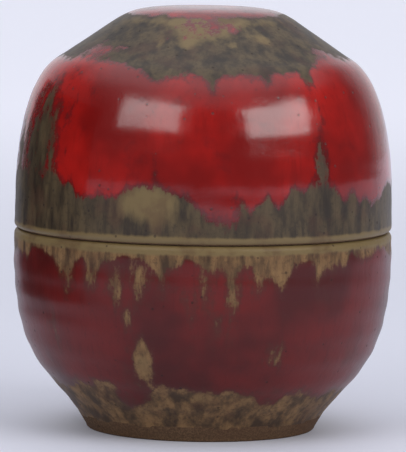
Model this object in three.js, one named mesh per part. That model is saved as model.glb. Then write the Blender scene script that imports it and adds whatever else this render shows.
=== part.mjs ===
// A round lidded box of glazed stoneware, thrown on a wheel: a bowl on a low tapered foot ring, and a domed lid
// with a low flat crown. The bowl's ledge carries the lid's rim, and an upright flange inside the ledge keeps the
// lid from sliding off. Sizes are in millimetres. Z points up, and the origin is the centre of the foot, on the table.
import * as THREE from "three";

// The outside of the bowl and the lid
const seamRadius = 40; // both pieces are widest where they meet
const seamHeight = 42.3; // ledge above the table
const lidHeight = 47.1; // top of the lid above the ledge
const seamRound = 1.3; // rounding of the two edges that face each other at the seam

// The bowl's belly and foot
const bellyFullness = 26; // how far the belly drops before it turns in
const bellyTuck = 13.3; // length of the tuck above the foot
const bellyExitAngle = 51; // degrees above level at which the belly reaches the foot
const footRadius = 24.3; // outer edge of the foot ring on the table
const footTaper = 2; // the foot ring is this much wider at its top
const footHeight = 3.9;
const footWidth = 4.8; // width of the ring on the table
const footRecess = 2.4; // hollow under the floor, inside the ring
const footRound = 0.6;

// The bowl's inside
const bowlWall = 4.6;
const floorThickness = 4.8;
const floorRound = 4; // height of the turn from wall to floor

// The flange that keeps the lid in place
const flangeThickness = 2.4;
const flangeHeight = 5.2; // above the ledge
const flangeRound = 0.8;
const ledgeWidth = 5; // from the seam in to the flange
const throatDepth = 2; // the flange's inner face goes down this far below the ledge
const throatTurn = 6; // height of the turn from the flange out to the bowl's wall

// The lid's dome
const shoulderFullness = 10; // how far the lid's side rises before it turns in
const shoulderTuck = 10.6; // length of the shoulder's turn into the slope
const shoulderRadius = 31; // where the slope starts
const slopeAngle = 34.2; // degrees, slope between the shoulder and the crown
const crownRadius = 19.2; // where the slope ends and the crown starts
const crownRise = 2.95; // rise of the low crown
const crownTurn = 5.4; // length of the turn from slope to crown
const crownFlat = 9.5; // half width of the level middle of the crown
const lidWall = 4.2;

// Fits
const flangeClearance = 0.45; // on the radius, between the flange and the lid's skirt
const skirtHeadroom = 1.6; // between the flange's top and the turn of the lid's inside

// Fineness of the turned surfaces
const turns = 64; // facets round the axis
const curveSteps = 12; // on a long curve
const roundSteps = 3; // on a rounded edge

const flangeRadius = seamRadius - ledgeWidth;
const flangeInnerRadius = flangeRadius - flangeThickness;
const flangeTop = seamHeight + flangeHeight;
const skirtRadius = flangeRadius + flangeClearance;
const skirtTop = flangeTop + skirtHeadroom;
const floorTop = footRecess + floorThickness;
const lidTop = seamHeight + lidHeight;

const point = (radius, height) => new THREE.Vector2(radius, height);
const radians = THREE.MathUtils.degToRad;

// A rounded edge as a quarter circle, from startAngle to endAngle in degrees, counted from straight outwards.
function roundedEdge(radius, height, round, startAngle, endAngle) {
  const arc = new THREE.EllipseCurve(
    radius, height, round, round, radians(startAngle), radians(endAngle), endAngle < startAngle,
  );
  return arc.getPoints(roundSteps);
}

// The outline moved into the clay by a wall's thickness. The clay is on the left of the outline's direction.
function inset(outline, wall) {
  return outline.map((here, i) => {
    const before = outline[Math.max(i - 1, 0)];
    const after = outline[Math.min(i + 1, outline.length - 1)];
    const along = after.clone().sub(before).normalize();
    const onAxis = here.x === 0;
    return onAxis ? point(0, here.y - wall) : point(here.x - along.y * wall, here.y + along.x * wall);
  });
}

// A solid turned about the Z axis from an outline that starts and ends on the axis, with the clay on its left.
function turned(outline) {
  const geometry = new THREE.LatheGeometry(outline, turns);
  return geometry.rotateX(Math.PI / 2);
}

// The belly's outside, from the top of the foot up to the rounded edge at the seam.
function bellyOutline() {
  const footTop = point(footRadius + footTaper, footHeight);
  const seamEdge = point(seamRadius, seamHeight - seamRound);
  const exit = radians(bellyExitAngle);
  const tuck = point(Math.cos(exit), Math.sin(exit)).multiplyScalar(bellyTuck);
  const curve = new THREE.CubicBezierCurve(
    footTop, footTop.clone().add(tuck), point(seamRadius, seamHeight - bellyFullness), seamEdge,
  );
  return curve.getPoints(curveSteps);
}

// The bowl's inside, from the flange down to the middle of the floor.
function bowlInside() {
  const wallTop = seamHeight - throatDepth - throatTurn;
  const wall = inset(bellyOutline(), bowlWall)
    .filter((p) => p.y < wallTop && p.y > floorTop + floorRound)
    .reverse();
  const throat = point(flangeInnerRadius, seamHeight - throatDepth);
  const widest = wall[0];
  const throatCurve = new THREE.CubicBezierCurve(
    throat, point(throat.x, throat.y - throatTurn / 2), point(widest.x, widest.y + throatTurn / 2), widest,
  );
  const [above, turn] = wall.slice(-2);
  const lean = (above.x - turn.x) / (above.y - turn.y);
  const corner = point(turn.x - (turn.y - floorTop) * lean, floorTop);
  const floorEdge = point(corner.x - turn.distanceTo(corner), floorTop);
  const floorCurve = new THREE.QuadraticBezierCurve(turn, corner, floorEdge);
  return [
    ...throatCurve.getPoints(roundSteps).slice(0, -1),
    ...wall.slice(0, -1),
    ...floorCurve.getPoints(roundSteps),
    point(0, floorTop),
  ];
}

// The bowl: foot ring, belly, ledge and flange are one piece of clay.
function bowlOutline() {
  const footInnerRadius = footRadius - footWidth;
  return [
    point(0, footRecess),
    point(footInnerRadius, footRecess),
    ...roundedEdge(footInnerRadius + footRound, footRound, footRound, 180, 270),
    ...roundedEdge(footRadius - footRound, footRound, footRound, 270, 360),
    ...bellyOutline().slice(0, -1),
    ...roundedEdge(seamRadius - seamRound, seamHeight - seamRound, seamRound, 0, 90),
    point(flangeRadius, seamHeight),
    ...roundedEdge(flangeRadius - flangeRound, flangeTop - flangeRound, flangeRound, 0, 90),
    ...roundedEdge(flangeInnerRadius + flangeRound, flangeTop - flangeRound, flangeRound, 90, 180),
    ...bowlInside(),
  ];
}

// The lid's outside, from the rounded edge at the seam up to the middle of the crown.
function domeOutline() {
  const slope = radians(slopeAngle);
  const uphill = point(-Math.cos(slope), Math.sin(slope));
  const seamEdge = point(seamRadius, seamHeight + seamRound);
  const crownEdge = point(crownRadius, lidTop - crownRise);
  const slopeRun = shoulderRadius - crownRadius;
  const shoulder = point(shoulderRadius, crownEdge.y - slopeRun * Math.tan(slope));
  const side = new THREE.CubicBezierCurve(
    seamEdge,
    point(seamRadius, seamHeight + shoulderFullness),
    shoulder.clone().addScaledVector(uphill, -shoulderTuck),
    shoulder,
  );
  const crown = new THREE.CubicBezierCurve(
    crownEdge, crownEdge.clone().addScaledVector(uphill, crownTurn), point(crownFlat, lidTop), point(0, lidTop),
  );
  return [...side.getPoints(curveSteps), ...crown.getPoints(curveSteps / 2)];
}

// The lid: its inside follows the dome a wall's thickness away, above a straight skirt round the flange.
function lidOutline() {
  const dome = domeOutline();
  const inside = inset(dome, lidWall).filter((p) => p.y > skirtTop).reverse();
  return [
    ...inside,
    point(skirtRadius, skirtTop),
    point(skirtRadius, seamHeight),
    ...roundedEdge(seamRadius - seamRound, seamHeight + seamRound, seamRound, 270, 360).slice(0, -1),
    ...dome,
  ];
}

function piece(name, outline, colour, roughness) {
  const material = new THREE.MeshStandardMaterial({ color: colour, roughness, metalness: 0 });
  const mesh = new THREE.Mesh(turned(outline), material);
  mesh.name = name;
  return mesh;
}

const wineRedGlaze = 0x5c2a28;
const brightRedGlaze = 0x8f1f1c;

const liddedBox = new THREE.Group();
liddedBox.add(piece("bowl", bowlOutline(), wineRedGlaze, 0.35));
liddedBox.add(piece("lid", lidOutline(), brightRedGlaze, 0.15));

export default liddedBox;
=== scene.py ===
import math
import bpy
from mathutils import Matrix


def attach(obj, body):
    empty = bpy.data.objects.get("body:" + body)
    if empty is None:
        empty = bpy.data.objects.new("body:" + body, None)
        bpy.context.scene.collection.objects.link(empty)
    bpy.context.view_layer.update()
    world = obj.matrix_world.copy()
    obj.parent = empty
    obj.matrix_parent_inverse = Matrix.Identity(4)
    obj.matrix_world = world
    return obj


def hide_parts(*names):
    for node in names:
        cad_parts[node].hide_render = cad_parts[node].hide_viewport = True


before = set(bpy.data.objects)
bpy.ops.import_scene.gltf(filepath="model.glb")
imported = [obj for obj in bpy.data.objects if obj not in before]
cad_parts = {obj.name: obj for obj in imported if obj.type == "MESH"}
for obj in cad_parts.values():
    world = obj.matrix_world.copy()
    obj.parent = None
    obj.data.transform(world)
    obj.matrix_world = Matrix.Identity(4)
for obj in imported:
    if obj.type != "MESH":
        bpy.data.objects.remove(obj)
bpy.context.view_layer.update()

from types import SimpleNamespace

import bpy
from mathutils import Euler, Vector, noise

MM = 0.001  # metres in a millimetre

# Sizes in millimetres, as in the part's source: the outside of the bowl and the lid
SEAM_RADIUS = 40
SEAM_HEIGHT = 42.3
LID_HEIGHT = 47.1
SEAM_ROUND = 1.3

# The bowl's belly and foot
BELLY_FULLNESS = 26
BELLY_TUCK = 13.3
BELLY_EXIT_ANGLE = 51  # degrees above level
FOOT_RADIUS = 24.3
FOOT_TAPER = 2
FOOT_HEIGHT = 3.9
FOOT_WIDTH = 4.8
FOOT_RECESS = 2.4
FOOT_ROUND = 0.6

# The bowl's inside
BOWL_WALL = 4.6
FLOOR_THICKNESS = 4.8
FLOOR_ROUND = 4

# The flange that keeps the lid in place
FLANGE_THICKNESS = 2.4
FLANGE_HEIGHT = 5.2
FLANGE_ROUND = 0.8
LEDGE_WIDTH = 5
THROAT_DEPTH = 2
THROAT_TURN = 6

# The lid's dome
SHOULDER_FULLNESS = 10
SHOULDER_TUCK = 10.6
SHOULDER_RADIUS = 31
SLOPE_ANGLE = 34.2  # degrees above level
CROWN_RADIUS = 19.2
CROWN_RISE = 2.95
CROWN_TURN = 5.4
CROWN_FLAT = 9.5
LID_WALL = 4.2

# Fits
FLANGE_CLEARANCE = 0.45
SKIRT_HEADROOM = 1.6

FLANGE_RADIUS = SEAM_RADIUS - LEDGE_WIDTH
FLANGE_INNER_RADIUS = FLANGE_RADIUS - FLANGE_THICKNESS
FLANGE_TOP = SEAM_HEIGHT + FLANGE_HEIGHT
SKIRT_RADIUS = FLANGE_RADIUS + FLANGE_CLEARANCE
SKIRT_TOP = FLANGE_TOP + SKIRT_HEADROOM
FLOOR_TOP = FOOT_RECESS + FLOOR_THICKNESS
LID_TOP = SEAM_HEIGHT + LID_HEIGHT

# Small forms that only the visual model has
RECESS_FILLET = 0.5  # turn from the hollow under the floor into the foot ring
RECESS_EDGE = 0.7  # the hollow is level up to here, counted from the foot ring
FLANGE_FLARE = 0.3  # the flange is this much wider where it meets the ledge
RIM_CHAMFER = 0.3  # inner edge of the lid's rim

# Fineness of the turned surfaces
TURNS = 256  # facets round the axis
BELLY_STEPS = 130
BELLY_INSIDE_STEPS = 90
THROAT_STEPS = 10
FLOOR_STEPS = 8
DOME_STEPS = (110, 60)  # on the side and on the crown
DOME_INSIDE_STEPS = (55, 20)
ROUND_STEPS = 5
FILLET_STEPS = 3
LONGEST_OUTSIDE = 0.55  # longest stretch of an outline, so that the masks have points to sit on
LONGEST_INSIDE = 1.2
ON_AXIS = 1e-6


# Outlines, as (radius, height) with the clay on the left

def bezier(points, steps):
    """Points along a Bezier curve of any degree."""
    out = []
    for i in range(steps + 1):
        t = i / steps
        level = points
        while len(level) > 1:
            level = [
                tuple(a + (b - a) * t for a, b in zip(p, q))
                for p, q in zip(level, level[1:])
            ]
        out.append(level[0])
    return out


def rounded(radius, height, size, start, end, steps=ROUND_STEPS):
    """An arc about a centre, from start to end in degrees, counted from straight outwards."""
    out = []
    for i in range(steps + 1):
        angle = math.radians(start + (end - start) * i / steps)
        out.append((radius + size * math.cos(angle), height + size * math.sin(angle)))
    return out


def shifted(point, direction, length):
    return (point[0] + length * direction[0], point[1] + length * direction[1])


def inset(outline, wall):
    """The outline moved into the clay by a wall's thickness."""
    out = []
    for i, (radius, height) in enumerate(outline):
        before = outline[max(i - 1, 0)]
        after = outline[min(i + 1, len(outline) - 1)]
        along = (Vector(after) - Vector(before)).normalized()
        if radius < ON_AXIS:
            out.append((0.0, height - wall))
        else:
            out.append((radius - along.y * wall, height + along.x * wall))
    return out


def belly(steps):
    """The bowl's outside, from the top of the foot up to the rounded edge at the seam."""
    foot_top = (FOOT_RADIUS + FOOT_TAPER, FOOT_HEIGHT)
    leave = math.radians(BELLY_EXIT_ANGLE)
    tuck = shifted(foot_top, (math.cos(leave), math.sin(leave)), BELLY_TUCK)
    full = (SEAM_RADIUS, SEAM_HEIGHT - BELLY_FULLNESS)
    return bezier([foot_top, tuck, full, (SEAM_RADIUS, SEAM_HEIGHT - SEAM_ROUND)], steps)


def bowl_inside():
    """The bowl's inside, from the flange down to the middle of the floor."""
    wall_top = SEAM_HEIGHT - (THROAT_DEPTH + THROAT_TURN)
    wall = [
        p for p in reversed(inset(belly(BELLY_INSIDE_STEPS), BOWL_WALL))
        if FLOOR_TOP + FLOOR_ROUND < p[1] < wall_top
    ]
    throat = (FLANGE_INNER_RADIUS, SEAM_HEIGHT - THROAT_DEPTH)
    widest = wall[0]
    pull = THROAT_TURN / 2
    throat_curve = [throat, (throat[0], throat[1] - pull), (widest[0], widest[1] + pull), widest]
    above, turn = wall[-2:]
    lean = (above[0] - turn[0]) / (above[1] - turn[1])
    corner = (turn[0] - (turn[1] - FLOOR_TOP) * lean, FLOOR_TOP)
    floor_edge = (corner[0] - math.dist(turn, corner), FLOOR_TOP)
    return (
        bezier(throat_curve, THROAT_STEPS)[:-1]
        + wall[:-1]
        + bezier([turn, corner, floor_edge], FLOOR_STEPS)
        + [(0.0, FLOOR_TOP)]
    )


def bowl_outline():
    """The bowl, and the index of the point where its outside ends at the flange."""
    ring = FOOT_RADIUS - FOOT_WIDTH
    edge = FLANGE_TOP - FLANGE_ROUND
    outside = (
        [(0.0, FOOT_RECESS), (ring - RECESS_EDGE, FOOT_RECESS)]
        + rounded(ring - RECESS_FILLET, FOOT_RECESS - RECESS_FILLET, RECESS_FILLET, 90, 0, FILLET_STEPS)
        + rounded(ring + FOOT_ROUND, FOOT_ROUND, FOOT_ROUND, 180, 270)
        + rounded(FOOT_RADIUS - FOOT_ROUND, FOOT_ROUND, FOOT_ROUND, 270, 360)
        + belly(BELLY_STEPS)[:-1]
        + rounded(SEAM_RADIUS - SEAM_ROUND, SEAM_HEIGHT - SEAM_ROUND, SEAM_ROUND, 0, 90)
        + [(FLANGE_RADIUS + FLANGE_FLARE, SEAM_HEIGHT)]
    )
    inside = (
        rounded(FLANGE_RADIUS - FLANGE_ROUND, edge, FLANGE_ROUND, 0, 90)
        + rounded(FLANGE_INNER_RADIUS + FLANGE_ROUND, edge, FLANGE_ROUND, 90, 180)
        + bowl_inside()
    )
    return outside + inside, len(outside) - 1


def dome(side_steps, crown_steps):
    """The lid's outside, from the rounded edge at the seam up to the middle of the crown."""
    slope = math.radians(SLOPE_ANGLE)
    uphill = (-math.cos(slope), math.sin(slope))
    crown_edge = (CROWN_RADIUS, LID_TOP - CROWN_RISE)
    slope_run = SHOULDER_RADIUS - CROWN_RADIUS
    shoulder = (SHOULDER_RADIUS, crown_edge[1] - slope_run * math.tan(slope))
    side = [
        (SEAM_RADIUS, SEAM_HEIGHT + SEAM_ROUND),
        (SEAM_RADIUS, SEAM_HEIGHT + SHOULDER_FULLNESS),
        shifted(shoulder, uphill, -SHOULDER_TUCK),
        shoulder,
    ]
    crown = [crown_edge, shifted(crown_edge, uphill, CROWN_TURN), (CROWN_FLAT, LID_TOP), (0.0, LID_TOP)]
    return bezier(side, side_steps) + bezier(crown, crown_steps)


def lid_outline():
    """The lid, and the index of the point where its outside starts at the rim."""
    inside = [p for p in reversed(inset(dome(*DOME_INSIDE_STEPS), LID_WALL)) if p[1] > SKIRT_TOP]
    inside += [
        (SKIRT_RADIUS, SKIRT_TOP),
        (SKIRT_RADIUS, SEAM_HEIGHT + RIM_CHAMFER),
        (SKIRT_RADIUS + RIM_CHAMFER, SEAM_HEIGHT),
    ]
    edge = rounded(SEAM_RADIUS - SEAM_ROUND, SEAM_HEIGHT + SEAM_ROUND, SEAM_ROUND, 270, 360)
    return inside + edge[:-1] + dome(*DOME_STEPS), len(inside) - 1


def rows_of(outline, first, last):
    """Rows (radius, height, outside), long stretches split. Points after first and up to last are outside."""
    rows = [(*outline[0], False)]
    for index, end in enumerate(outline[1:], 1):
        outside = first < index <= last
        start = rows[-1][:2]
        longest = LONGEST_OUTSIDE if outside else LONGEST_INSIDE
        parts = max(1, math.ceil(math.dist(start, end) / longest))
        for k in range(1, parts + 1):
            radius, height = (a + (b - a) * (k / parts) for a, b in zip(start, end))
            rows.append((radius, height, outside))
    return rows


# Where the glaze breaks, runs and stops

def ramp(value, low, high):
    """A smooth rise from 0 at low to 1 at high."""
    t = min(1.0, max(0.0, (value - low) / (high - low)))
    return t * t * (3 - 2 * t)


def drift(angle, height, size, seed):
    """Smooth noise round the piece, about -1 to 1, with waves of a size in millimetres."""
    place = Vector((math.sin(angle) * SEAM_RADIUS, -math.cos(angle) * SEAM_RADIUS, height)) / size
    apart = Vector((seed * 7.3, seed * 3.1, seed * 1.7))
    return noise.noise(place + apart) * 2


# Each mark is one run or patch of glaze: degrees from the viewer's side towards the right,
# height, half width, half height, strength. A negative strength takes away. The wide pale patch among the
# lid's tan marks, at the crown's front, is a painted reflection of the pale room overhead.
LID_MARKS = [
    (0, 85.8, 9, 2.2, -0.5),
    (-14, 78.2, 8, 2.4, 0.65),
    (10, 78.0, 8, 2.2, 0.65),
    (33, 78.4, 7, 2.4, 0.6),
    (-19, 76.4, 1.8, 2.6, 0.5),
    (3, 76.0, 1.6, 2.8, 0.5),
    (22, 76.2, 1.8, 3.0, 0.5),
    (39, 75.8, 1.5, 3.2, 0.45),
    (-52, 80.2, 7, 2.4, -0.7),
    (58, 79.6, 6, 2.2, -0.6),
    (110, 77.6, 6, 2.4, 0.6),
    (-120, 77.8, 7, 2.6, 0.6),
    (165, 80, 7, 2.4, -0.6),
    (-61, 60, 9, 15, 0.75),
    (-84, 56, 9, 12, 0.5),
    (-17, 51.5, 9, 6, 0.45),
    (38, 58, 2.6, 8, 0.8),
    (5, 51.5, 5.0, 6.5, -0.95),
    (-33, 57, 6, 6, -0.5),
    (24, 58, 8, 5, -0.5),
    (62, 57, 8, 6, -0.6),
    (9, 61, 2, 4, 0.3),
    (128, 57, 9, 9, 0.5),
    (165, 52, 6, 8, -0.9),
    (-140, 54, 7, 8, -0.8),
    (-118, 60, 5, 10, 0.5),
    (104, 51, 4, 7, -0.7),
]
LID_TAN_AND_PAINTED_SHEEN_MARKS = [
    (-17, 51, 9, 5, 1.0),
    (-22, 82.6, 1.4, 1.6, 0.6),
    (-9, 82.8, 2.0, 1.3, 0.75),
    (13, 82.2, 1.3, 1.1, 0.5),
    # A wide pale patch on the front of the slope below the crown: painted reflection of the pale room overhead
    (0, 85.2, 9, 2.8, 0.85),
    (30, 83.4, 2.1, 1.4, 0.75),
    (75, 83, 2.4, 1.5, 0.6),
    (128, 82.4, 2, 1.6, 0.7),
    (-160, 83, 2, 1.3, 0.7),
    (-95, 82.8, 2.4, 1.5, 0.6),
]
BOWL_MARKS = [
    (-19, 17.6, 2.3, 5, 0.95),
    (-1, 9.7, 5, 2.6, 0.9),
    (-37, 11.3, 5, 3, 0.65),
    (24, 19.8, 2.6, 4, 0.55),
    (-44, 35, 3.0, 5, 0.45),
    (-35, 36, 2.2, 6, 0.6),
    (-27, 33, 2.0, 6, 0.6),
    (-19, 35, 2.4, 8, 0.6),
    (-12, 36, 1.8, 6, 0.55),
    (-5, 32, 1.6, 5, 0.5),
    (1, 35, 2.0, 8, 0.55),
    (9, 34, 2.2, 9, 0.65),
    (17, 37, 2.0, 6, 0.55),
    (24, 37, 2.0, 4, 0.5),
    (-23, 27, 1.0, 3, 0.5),
    (5, 26, 0.9, 3, 0.5),
    (36, 36, 2.0, 4, 0.4),
    (-52, 24, 1.2, 4, 0.4),
    (60, 30, 9, 12, -0.4),
    (100, 34, 4, 8, 0.5),
    (122, 20, 3, 5, 0.8),
    (137, 35, 2, 7, 0.6),
    (150, 35, 4, 8, 0.5),
    (174, 12, 5, 3, 0.8),
    (-150, 33, 4, 9, 0.55),
    (-128, 16, 3, 5, 0.8),
    (-112, 36, 2, 7, 0.5),
    (-96, 36, 5, 6, 0.45),
]
MARK_REACH = 6  # a mark ends where the square of the distance, in half widths, is this
MARK_LEAST_RADIUS = 8  # nearer to the axis, a mark takes up no more degrees than here


def marks_at(marks, angle, height, radius):
    """The strength of all marks that reach a point, added up."""
    total = 0.0
    for degrees, middle, wide, tall, strength in marks:
        turn = (angle - math.radians(degrees) + math.pi) % (2 * math.pi) - math.pi
        away = (turn * max(radius, MARK_LEAST_RADIUS) / wide) ** 2 + ((height - middle) / tall) ** 2
        if away < MARK_REACH:
            total += strength * math.exp(-away)
    return total


# The lines of the glaze, in millimetres. A pair holds the two ends of a soft change.
LID_OLIVE_TOP = 53.5  # height of the edge between the olive above the seam and the red
LID_OLIVE_FADE = (-4.5, 3)  # about that edge
LID_OLIVE_WAVES = 2.2  # how far the edge wanders
LID_OLIVE_RIPPLES = 1.2
SLOPE_BOTTOM = 70  # above this height the olive is a ring on the slope below the crown
RING_INNER_FADE = (14.5, 18.5)  # radii
RING_OUTER_FADE = (28.5, 33)
RING_OUTER_WAVES = 1.6
RING_STRENGTH = 0.95
CROWN_HAZE_FADE = (13, 17)
CROWN_HAZE_STRENGTH = 0.28
CROWN_TAN_STRENGTH = 0.45
CROWN_TAN_RADIUS = 18.6
CROWN_TAN_WIDTH = 1.7
CROWN_TAN_BOTTOM = 80
LID_TAN_FADE = (0.9, 2.6)  # counted up from the seam, as are the next two
LID_SKIN_FADE = (0.3, 3)
LID_BARE_TOP = 0.25
LID_SEAT_TOP = 1.4  # inside, the bare seat ends this far above the skirt
BOWL_OLIVE_FADE = (36, 41.5)  # heights
BOWL_OLIVE_WAVES = 3
BOWL_MARK_TAN = 0.45  # how tan the bowl's marks are
BOWL_TAN_FADE = (-2.8, -1)  # counted up from the seam, as is the next
BOWL_SKIN_FADE = (-3, -0.4)
FOOT_OLIVE_TOP = 9.5
FOOT_OLIVE_FADE = (-2.5, 3.5)  # about that height
FOOT_OLIVE_WAVES = 1.6
FOOT_SKIN_FADE = (4, 7)  # heights
FOOT_BARE_TOP = 3.1
FOOT_BARE_WAVES = 0.5
LEDGE_BARE_DEPTH = 0.05  # below the seam
LEDGE_BARE_EDGE = 1.4  # in from the seam's radius
THROAT_BARE_DEPTH = 1.6  # below the seam
INSIDE_BARE_WAVES = 0.4  # how far the glaze's edges inside wander
INSIDE_OLIVE = 0.3
INSIDE_OLIVE_SWAY = 0.25
INSIDE_TAN = 0.3
INSIDE_SKIN = 0.6
MASKS = ("olive", "tan", "bare", "skin")  # skin is how much the point takes part in rings and unevenness


def inside_masks(angle, height, bare, seed):
    """The masks of an inside, where the glaze is even."""
    olive = INSIDE_OLIVE + INSIDE_OLIVE_SWAY * drift(angle, height, size=16, seed=seed)
    return olive, INSIDE_TAN, float(bare), 0.0 if bare else INSIDE_SKIN


def lid_masks(angle, radius, height, outside):
    """The masks of the lid at one point."""
    if not outside:
        seat = SKIRT_TOP + LID_SEAT_TOP + INSIDE_BARE_WAVES * drift(angle, height, size=9, seed=4)
        return inside_masks(angle, height, height < seat, seed=5)
    waves = LID_OLIVE_WAVES * drift(angle, 0, size=9, seed=1)
    ripples = LID_OLIVE_RIPPLES * drift(angle, 0, size=3.5, seed=2)
    edge = LID_OLIVE_TOP + waves + ripples
    olive = 1 - ramp(height, edge + LID_OLIVE_FADE[0], edge + LID_OLIVE_FADE[1])
    if height > SLOPE_BOTTOM:
        outer = RING_OUTER_FADE[0] + RING_OUTER_WAVES * drift(angle, 0, size=8, seed=3)
        ring = ramp(radius, *RING_INNER_FADE) * (1 - ramp(radius, outer, RING_OUTER_FADE[1]))
        olive = max(olive, RING_STRENGTH * ring)
        olive += CROWN_HAZE_STRENGTH * (1 - ramp(radius, *CROWN_HAZE_FADE))
    olive += marks_at(LID_MARKS, angle, height, radius)
    above_seam = height - SEAM_HEIGHT
    tan = 1 - ramp(above_seam, *LID_TAN_FADE)
    if height > CROWN_TAN_BOTTOM:
        from_ring = (radius - CROWN_TAN_RADIUS) / CROWN_TAN_WIDTH
        tan += CROWN_TAN_STRENGTH * math.exp(-(from_ring ** 2))
    # The tan marks hold tan spots and also a painted reflection at the crown's front
    tan += marks_at(LID_TAN_AND_PAINTED_SHEEN_MARKS, angle, height, radius)
    return olive, tan, float(above_seam < LID_BARE_TOP), ramp(above_seam, *LID_SKIN_FADE)


def bowl_masks(angle, radius, height, outside):
    """The masks of the bowl at one point."""
    if not outside:
        throat = SEAM_HEIGHT - THROAT_BARE_DEPTH + INSIDE_BARE_WAVES * drift(angle, 0, size=9, seed=6)
        return inside_masks(angle, height, height > throat, seed=7)
    marks = marks_at(BOWL_MARKS, angle, height, radius)
    edge = BOWL_OLIVE_FADE[0] + BOWL_OLIVE_WAVES * drift(angle, 0, size=6, seed=8)
    foot = FOOT_OLIVE_TOP + FOOT_OLIVE_WAVES * drift(angle, 0, size=8, seed=9)
    olive = max(
        ramp(height, edge, BOWL_OLIVE_FADE[1]),
        1 - ramp(height, foot + FOOT_OLIVE_FADE[0], foot + FOOT_OLIVE_FADE[1]),
    )
    above_seam = height - SEAM_HEIGHT
    tan = ramp(above_seam, *BOWL_TAN_FADE) + BOWL_MARK_TAN * marks
    bare_foot = height < FOOT_BARE_TOP + FOOT_BARE_WAVES * drift(angle, 0, size=7, seed=10)
    bare_ledge = above_seam > -LEDGE_BARE_DEPTH and radius < SEAM_RADIUS - LEDGE_BARE_EDGE
    skin = ramp(height, *FOOT_SKIN_FADE) * (1 - ramp(above_seam, *BOWL_SKIN_FADE))
    return olive + marks, tan, float(bare_foot or bare_ledge), skin


# Meshes

def turned(name, rows, masks):
    """A closed surface turned about Z, whose points carry the masks. Its rows start and end on the axis."""
    points = []
    values = []
    for radius, height, outside in rows:
        for k in range(TURNS if radius > ON_AXIS else 1):
            angle = 2 * math.pi * k / TURNS
            points.append((math.sin(angle) * radius * MM, -math.cos(angle) * radius * MM, height * MM))
            values.append(masks(angle, radius, height, outside))
    last = len(points) - 1
    top = last - TURNS
    faces = []
    for k in range(TURNS):
        after = (k + 1) % TURNS
        faces.append((0, 1 + after, 1 + k))
        faces.append((last, top + k, top + after))
    for low in range(1, top, TURNS):
        high = low + TURNS
        for k in range(TURNS):
            after = (k + 1) % TURNS
            faces.append((low + k, low + after, high + after, high + k))
    mesh = bpy.data.meshes.new(name)
    mesh.from_pydata(points, [], faces)
    for column, mask in enumerate(MASKS):
        layer = mesh.attributes.new(mask, "FLOAT", "POINT")
        layer.data.foreach_set("value", [v[column] for v in values])
    mesh.shade_smooth()
    mesh.update()
    return mesh


class Graph:
    """A short way to write the nodes of a tree."""

    def __init__(self, tree):
        self.tree = tree

    def put(self, slot, value):
        """Links the slot to a socket, or sets it to a plain value."""
        if isinstance(value, bpy.types.NodeSocket):
            self.tree.links.new(value, slot)
        else:
            slot.default_value = value

    def node(self, kind, settings=None, **inputs):
        """A new node. An input's name has _ for a space."""
        node = self.tree.nodes.new(kind)
        for key, value in (settings or {}).items():
            setattr(node, key, value)
        for key, value in inputs.items():
            self.put(node.inputs[key.replace("_", " ")], value)
        return node

    def math(self, operation, *values):
        node = self.node("ShaderNodeMath", {"operation": operation})
        for slot, value in zip(node.inputs, values):
            self.put(slot, value)
        return node.outputs[0]

    def swing(self, value, amount):
        """A noise from 0 to 1 as a swing about 0, of half the amount each way."""
        return self.math("MULTIPLY", self.math("SUBTRACT", value, 0.5), amount)

    def step(self, value, low, high, first=0.0, last=1.0):
        """A soft change from first to last, where the value goes from low to high."""
        node = self.node("ShaderNodeMapRange", {"interpolation_type": "SMOOTHSTEP"})
        for slot, given in zip(node.inputs, (value, low, high, first, last)):
            self.put(slot, given)
        return node.outputs[0]

    def mix(self, factor, under, over):
        """Two colours mixed. The node has sockets for each kind of value, these for colours."""
        node = self.node("ShaderNodeMix", {"data_type": "RGBA"})
        for index, value in ((0, factor), (6, under), (7, over)):
            self.put(node.inputs[index], value)
        return node.outputs[2]

    def layer(self, under, over, pattern, low, high, amount=1.0):
        """A colour laid over another where the pattern is high."""
        return self.mix(self.step(pattern, low, high, 0.0, amount), under, over)

    def noise(self, at, scale, detail, roughness=0.55):
        inputs = {"Vector": at, "Scale": scale, "Detail": detail, "Roughness": roughness}
        return self.node("ShaderNodeTexNoise", **inputs).outputs[0]

    def seeded_noise(self, seed, scale, detail):
        settings = {"noise_dimensions": "4D"}
        return self.node("ShaderNodeTexNoise", settings, Scale=scale, Detail=detail, W=seed).outputs[0]


RING_PATCHES = 45.0  # waves per metre of the noise that makes some rings deeper than others
RING_PATCH_DEPTH = 1.6  # depth of the rings where that noise is 1
WALL_WAVES = 22.0  # waves per metre of the wall's unevenness


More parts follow.
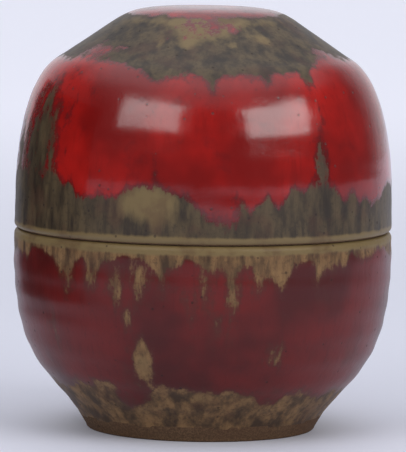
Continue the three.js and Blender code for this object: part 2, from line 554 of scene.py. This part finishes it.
def thrown_surface():
    """Geometry Nodes: throwing rings that climb round the piece, an uneven wall, and the glaze's thickness."""
    tree = bpy.data.node_groups.new("Thrown surface", "GeometryNodeTree")
    sockets = tree.interface
    sockets.new_socket("Geometry", in_out="OUTPUT", socket_type="NodeSocketGeometry")
    sockets.new_socket("Geometry", in_out="INPUT", socket_type="NodeSocketGeometry")
    for title in ("Ring Pitch", "Ring Depth", "Unevenness", "Glaze Build", "Seed"):
        sockets.new_socket(title, in_out="INPUT", socket_type="NodeSocketFloat")
    sockets.new_socket("Material", in_out="INPUT", socket_type="NodeSocketMaterial")
    g = Graph(tree)
    given = g.node("NodeGroupInput").outputs

    def named(title):
        settings = {"data_type": "FLOAT"}
        return g.node("GeometryNodeInputNamedAttribute", settings, Name=title).outputs["Attribute"]

    position = g.node("GeometryNodeInputPosition").outputs[0]
    place = g.node("ShaderNodeSeparateXYZ", Vector=position).outputs
    turn = g.math("DIVIDE", g.math("ARCTAN2", place["Y"], place["X"]), 2 * math.pi)
    climb = g.math("DIVIDE", place["Z"], given["Ring Pitch"])
    wave = g.math("SINE", g.math("MULTIPLY", g.math("ADD", climb, turn), 2 * math.pi))
    strength = g.math("MULTIPLY", g.seeded_noise(given["Seed"], RING_PATCHES, 2.0), RING_PATCH_DEPTH)
    rings = g.math("MULTIPLY", g.math("MULTIPLY", wave, strength), given["Ring Depth"])
    wobble = g.swing(g.seeded_noise(given["Seed"], WALL_WAVES, 3.0), given["Unevenness"])
    build = g.math("MULTIPLY", g.math("SUBTRACT", 0.5, named("olive")), given["Glaze Build"])
    total = g.math("ADD", g.math("ADD", rings, wobble), build)
    total = g.math("MULTIPLY", total, named("skin"))
    normal = g.node("GeometryNodeInputNormal").outputs[0]
    offset = g.node("ShaderNodeVectorMath", {"operation": "SCALE"}, Vector=normal, Scale=total).outputs[0]
    moved = g.node("GeometryNodeSetPosition", Geometry=given["Geometry"], Offset=offset)
    plain = g.node("GeometryNodeRealizeInstances", Geometry=moved.outputs[0])
    glazed = g.node("GeometryNodeSetMaterial", Geometry=plain.outputs[0], Material=given["Material"])
    g.node("NodeGroupOutput", Geometry=glazed.outputs[0])
    return tree


def built(name, mesh, tree, material, **inputs):
    """The piece as a plain mesh, after the tree has worked on it."""
    draft = bpy.data.objects.new(name + "_draft", mesh)
    bpy.context.scene.collection.objects.link(draft)
    modifier = draft.modifiers.new("Thrown surface", "NODES")
    modifier.node_group = tree
    ids = {s.name: s.identifier for s in tree.interface.items_tree if s.in_out == "INPUT"}
    modifier[ids["Material"]] = material
    for title, value in inputs.items():
        modifier[ids[title.replace("_", " ")]] = value
    evaluated = draft.evaluated_get(bpy.context.evaluated_depsgraph_get())
    plain = bpy.data.meshes.new_from_object(evaluated)
    plain.name = name
    bpy.data.objects.remove(draft)
    piece = bpy.data.objects.new(name, plain)
    bpy.context.scene.collection.objects.link(piece)
    return piece


# Materials

def colour(r, g, b):
    """A colour written as screen values from 0 to 255."""
    def linear(v):
        v /= 255
        return v / 12.92 if v <= 0.04045 else ((v + 0.055) / 1.055) ** 2.4
    return (linear(r), linear(g), linear(b), 1.0)


IRON_BROWN = colour(74, 44, 30)
IRON_SPECK = colour(34, 20, 16)
CLAY_DARK = colour(84, 62, 44)
CLAY_LIGHT = colour(114, 88, 64)
CLAY_RUST = colour(88, 58, 40)
CLAY_SPECK = colour(58, 38, 28)
CLAY_ROUGHNESS = 0.86
SATIN_COAT = 0.03  # coat on the thin glaze


def shaded(name):
    """A new material, the graph of its nodes and its shader's inputs."""
    material = bpy.data.materials.new(name)
    material.use_nodes = True
    graph = Graph(material.node_tree)
    return material, graph, graph.tree.nodes["Principled BSDF"].inputs


def patterns(g):
    """The mesh's masks and the noises that glaze and clay are painted with. Scales are waves per metre."""
    at = g.node("ShaderNodeTexCoord").outputs["Object"]

    def mask(title):
        return g.node("ShaderNodeAttribute", {"attribute_name": title}).outputs["Fac"]

    def drawn_down(height_scale):
        return g.node("ShaderNodeMapping", Vector=at, Scale=(1.0, 1.0, height_scale)).outputs[0]

    elsewhere = g.node("ShaderNodeMapping", Vector=at, Location=(0.2, 0.1, 0.3)).outputs[0]
    p = SimpleNamespace(
        olive=mask("olive"),
        tan=mask("tan"),
        bare=g.step(mask("bare"), 0.35, 0.65),
        broad=g.noise(at, 48.0, 3.0),
        clouds=g.noise(elsewhere, 150.0, 5.0),
        streak=g.noise(drawn_down(0.3), 330.0, 5.0, 0.6),
        fur=g.noise(drawn_down(0.1), 950.0, 4.0, 0.65),
        fine=g.noise(at, 1100.0, 4.0, 0.6),
        grit=g.noise(at, 2400.0, 3.0, 0.7),
    )
    cells = g.node("ShaderNodeTexVoronoi", Vector=at, Scale=520.0).outputs
    chance = g.node("ShaderNodeSeparateColor", Color=cells["Color"]).outputs[0]
    one_in_five = g.math("GREATER_THAN", chance, 0.8)
    p.speck = g.math("MULTIPLY", g.step(cells["Distance"], 0.10, 0.2, 1.0, 0.0), one_in_five)
    p.ragged = g.math("ADD", g.math("ADD", p.olive, g.swing(p.streak, 1.35)), g.swing(p.fine, 0.5))
    p.broken = g.step(p.ragged, 0.40, 0.66)
    return p


def red_glaze(g, p, bright, deep, thick):
    """The red, deeper in streaks, and thick and dull beside the olive."""
    red = g.layer(deep, bright, p.broad, 0.36, 0.66)
    red = g.layer(red, deep, p.streak, 0.52, 0.8, 0.45)
    red = g.layer(red, deep, p.fur, 0.5, 0.72, 0.4)
    red = g.layer(red, thick, p.ragged, 0.18, 0.46, 0.62)
    red = g.layer(red, thick, p.clouds, 0.56, 0.74, 0.35)
    return g.layer(red, deep, p.fine, 0.58, 0.74, 0.3)


def thin_glaze(g, p, olive_light, olive_dark, tan_light):
    """The olive where the glaze runs thin, and the tan on the edges."""
    thin = g.layer(olive_dark, olive_light, p.streak, 0.34, 0.66)
    thin = g.layer(thin, olive_dark, p.fine, 0.5, 0.72, 0.55)
    thin = g.layer(thin, olive_dark, p.fur, 0.5, 0.7, 0.5)
    thin = g.layer(thin, tan_light, g.math("ADD", p.tan, g.swing(p.streak, 0.9)), 0.3, 0.85)
    return g.layer(thin, IRON_BROWN, p.clouds, 0.5, 0.66, 0.4)


def bare_clay(g, p):
    """Stoneware where nothing was dipped."""
    clay = g.layer(CLAY_DARK, CLAY_LIGHT, p.grit, 0.35, 0.7)
    clay = g.layer(clay, CLAY_RUST, p.broad, 0.4, 0.7, 0.5)
    return g.mix(g.math("MULTIPLY", p.speck, 0.8), clay, CLAY_SPECK)


def roughness_of(g, p, gloss, satin):
    """Glossy red, satin olive, specks a little rougher, and dull clay."""
    rough = g.step(p.broken, 0.0, 1.0, gloss, satin)
    rough = g.math("ADD", rough, g.swing(p.fine, 0.12))
    rough = g.math("ADD", rough, g.math("MULTIPLY", p.speck, 0.2))
    return g.step(p.bare, 0.0, 1.0, rough, CLAY_ROUGHNESS)


def bump_of(g, p):
    """Orange peel and pinholes in the glaze, grit in the clay."""
    peel = g.math("ADD", g.math("MULTIPLY", p.streak, 0.6), g.math("MULTIPLY", p.fine, 0.16))
    peel = g.math("SUBTRACT", peel, g.math("MULTIPLY", p.speck, 0.22))
    height = g.math("ADD", peel, g.math("MULTIPLY", g.math("MULTIPLY", p.grit, p.bare), 0.5))
    return g.node("ShaderNodeBump", Strength=0.5, Distance=0.00022, Height=height).outputs[0]


def glaze(name, bright, deep, thick, olive_light, olive_dark, tan_light, gloss, satin, coat, specular):
    """Copper-red glaze that thins to olive and tan, over bare stoneware."""
    material, g, shader = shaded(name)
    p = patterns(g)
    red = red_glaze(g, p, bright, deep, thick)
    skin = g.mix(p.broken, red, thin_glaze(g, p, olive_light, olive_dark, tan_light))
    skin = g.mix(g.math("MULTIPLY", p.speck, 0.6), skin, IRON_SPECK)
    g.put(shader["Base Color"], g.mix(p.bare, skin, bare_clay(g, p)))
    g.put(shader["Roughness"], roughness_of(g, p, gloss, satin))
    wet = g.step(p.broken, 0.0, 1.0, coat, SATIN_COAT)
    g.put(shader["Coat Weight"], g.step(p.bare, 0.0, 1.0, wet, 0.0))
    g.put(shader["Normal"], bump_of(g, p))
    shader["Coat Roughness"].default_value = 0.1
    shader["IOR"].default_value = 1.5
    shader["Specular IOR Level"].default_value = specular
    return material


LID_GLAZE = glaze(
    "Bright red glaze",
    bright=colour(168, 25, 20), deep=colour(118, 15, 13), thick=colour(62, 20, 24),
    olive_light=colour(84, 69, 46), olive_dark=colour(42, 32, 22), tan_light=colour(114, 95, 60),
    gloss=0.17, satin=0.46, coat=0.32, specular=0.42,
)
# The lid's red glaze made darker on the bowl: painted shade, since the bowl faces down and away from the lamps
SHADED_BOWL_GLAZE = glaze(
    "Red glaze darkened for painted shade",
    bright=colour(102, 22, 19), deep=colour(72, 15, 13), thick=colour(74, 36, 27),
    olive_light=colour(134, 102, 66), olive_dark=colour(66, 48, 32), tan_light=colour(118, 99, 64),
    gloss=0.32, satin=0.5, coat=0.08, specular=0.27,
)

# The two pieces. Lengths given to the tree are in metres.
TREE = thrown_surface()

bowl_line, ledge = bowl_outline()
bowl = built(
    "glazed_bowl", turned("bowl_skin", rows_of(bowl_line, 0, ledge), bowl_masks), TREE, SHADED_BOWL_GLAZE,
    Ring_Pitch=0.0052, Ring_Depth=0.00008, Unevenness=0.00035, Glaze_Build=0.00016, Seed=3.0,
)
lid_line, rim = lid_outline()
lid = built(
    "glazed_lid", turned("lid_skin", rows_of(lid_line, rim, len(lid_line) - 1), lid_masks), TREE, LID_GLAZE,
    Ring_Pitch=0.0048, Ring_Depth=0.00002, Unevenness=0.00022, Glaze_Build=0.00016, Seed=8.0,
)
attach(bowl, "bowl_body")
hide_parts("bowl")
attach(lid, "lid_body")
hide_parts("lid")


# The set, in metres
AIM = Vector((0.0, 0.0, 0.0428))
FLOOR_SIDE = 4
FLOOR_NEAR = -4
FLOOR_FAR = 12
CARD_LEFT = -0.13
CARD_NEAR = -0.06
CARD_FAR = 0.14
CARD_TOP = 0.12
FAR_LIGHT = 0.32  # emission of the paper's far end
FAR_LIGHT_FADE = (0.05, 1.1)  # along Y
LEFT_SIDE_FADE = (-0.34, -0.15)  # along X
ROOM_LIGHT = 0.11
LIGHT_BEYOND = 0.8
LIGHT_OVERHEAD = 1.2
SOFTBOX_DISTANCE = 0.8
LENS = 338  # millimetres
SENSOR_WIDTH = 36
CAMERA_DISTANCE = 0.9
CAMERA_ELEVATION = math.radians(5.3)
CAMERA_ROLL = math.radians(0.8)


def staged(obj):
    bpy.context.scene.collection.objects.link(obj)
    return obj


def flat(name, corners, material):
    """A rectangle of the set."""
    mesh = bpy.data.meshes.new(name)
    mesh.from_pydata(corners, [], [(0, 1, 2, 3)])
    mesh.materials.append(material)
    return staged(bpy.data.objects.new(name, mesh))


def pale_paper():
    """Paper whose far end has a light of its own, which the left side of the set doesn't get."""
    material, g, shader = shaded("Pale paper")
    at = g.node("ShaderNodeTexCoord").outputs["Object"]
    place = g.node("ShaderNodeSeparateXYZ", Vector=at).outputs
    grain = g.math("MULTIPLY", g.noise(at, 400.0, 3.0), 0.06)
    g.put(shader["Base Color"], g.mix(grain, colour(222, 224, 236), colour(186, 188, 200)))
    shader["Roughness"].default_value = 0.7
    shader["Emission Color"].default_value = colour(238, 238, 247)
    far = g.step(place["Y"], *FAR_LIGHT_FADE, 0.0, FAR_LIGHT)
    g.put(shader["Emission Strength"], g.math("MULTIPLY", far, g.step(place["X"], *LEFT_SIDE_FADE)))
    return material


def black_card():
    """The dark card's material."""
    material, _, shader = shaded("Black card")
    shader["Base Color"].default_value = (0.01, 0.01, 0.01, 1.0)
    shader["Roughness"].default_value = 0.9
    return material


def softbox(name, direction, size, watts):
    """A rectangular lamp at a fixed distance from the middle of the box, which it faces."""
    data = bpy.data.lights.new(name, "AREA")
    data.shape = "RECTANGLE"
    data.size, data.size_y = size
    data.energy = watts
    lamp = staged(bpy.data.objects.new(name, data))
    outwards = Vector(direction).normalized()
    lamp.location = AIM + outwards * SOFTBOX_DISTANCE
    lamp.rotation_euler = outwards.to_track_quat("Z", "Y").to_euler()


def surroundings():
    """A dim room that is brighter beyond the box and overhead."""
    world = bpy.data.worlds.new("Studio")
    bpy.context.scene.world = world
    world.use_nodes = True
    g = Graph(world.node_tree)
    towards = g.node("ShaderNodeTexCoord").outputs["Generated"]
    place = g.node("ShaderNodeSeparateXYZ", Vector=towards).outputs
    beyond = g.step(place["Y"], 0.5, 0.96, ROOM_LIGHT, LIGHT_BEYOND)
    overhead = g.step(place["Z"], 0.5, 0.95, 0.0, LIGHT_OVERHEAD)
    background = g.tree.nodes["Background"].inputs
    background["Color"].default_value = (0.93, 0.94, 1.0, 1.0)
    g.put(background["Strength"], g.math("ADD", beyond, overhead))


flat(
    "floor",
    [
        (-FLOOR_SIDE, FLOOR_NEAR, 0), (FLOOR_SIDE, FLOOR_NEAR, 0),
        (FLOOR_SIDE, FLOOR_FAR, 0), (-FLOOR_SIDE, FLOOR_FAR, 0),
    ],
    pale_paper(),
)
softbox("softbox_left", direction=(-0.51, -0.67, 0.54), size=(0.54, 0.25), watts=1.8)
softbox("softbox_right", direction=(0.66, -0.54, 0.47), size=(0.62, 0.25), watts=2.7)

# A dark card that only reflections see, since the left side of the photographed box mirrors something dark
card = flat(
    "left_card",
    [
        (CARD_LEFT, CARD_NEAR, 0), (CARD_LEFT, CARD_FAR, 0),
        (CARD_LEFT, CARD_FAR, CARD_TOP), (CARD_LEFT, CARD_NEAR, CARD_TOP),
    ],
    black_card(),
)
card.visible_camera = False
card.visible_shadow = False
card.visible_diffuse = False
surroundings()

# The camera
camera_data = bpy.data.cameras.new("camera")
camera_data.lens = LENS
camera_data.sensor_width = SENSOR_WIDTH
camera = staged(bpy.data.objects.new("camera", camera_data))
back_and_up = Vector((0.0, -math.cos(CAMERA_ELEVATION), math.sin(CAMERA_ELEVATION)))
camera.location = AIM + back_and_up * CAMERA_DISTANCE
tilt = Euler((math.pi / 2 - CAMERA_ELEVATION, 0.0, 0.0)).to_quaternion()
roll = Euler((0.0, 0.0, CAMERA_ROLL)).to_quaternion()
camera.rotation_euler = (tilt @ roll).to_euler()
bpy.context.scene.camera = camera
bpy.context.scene.view_settings.view_transform = "Standard"
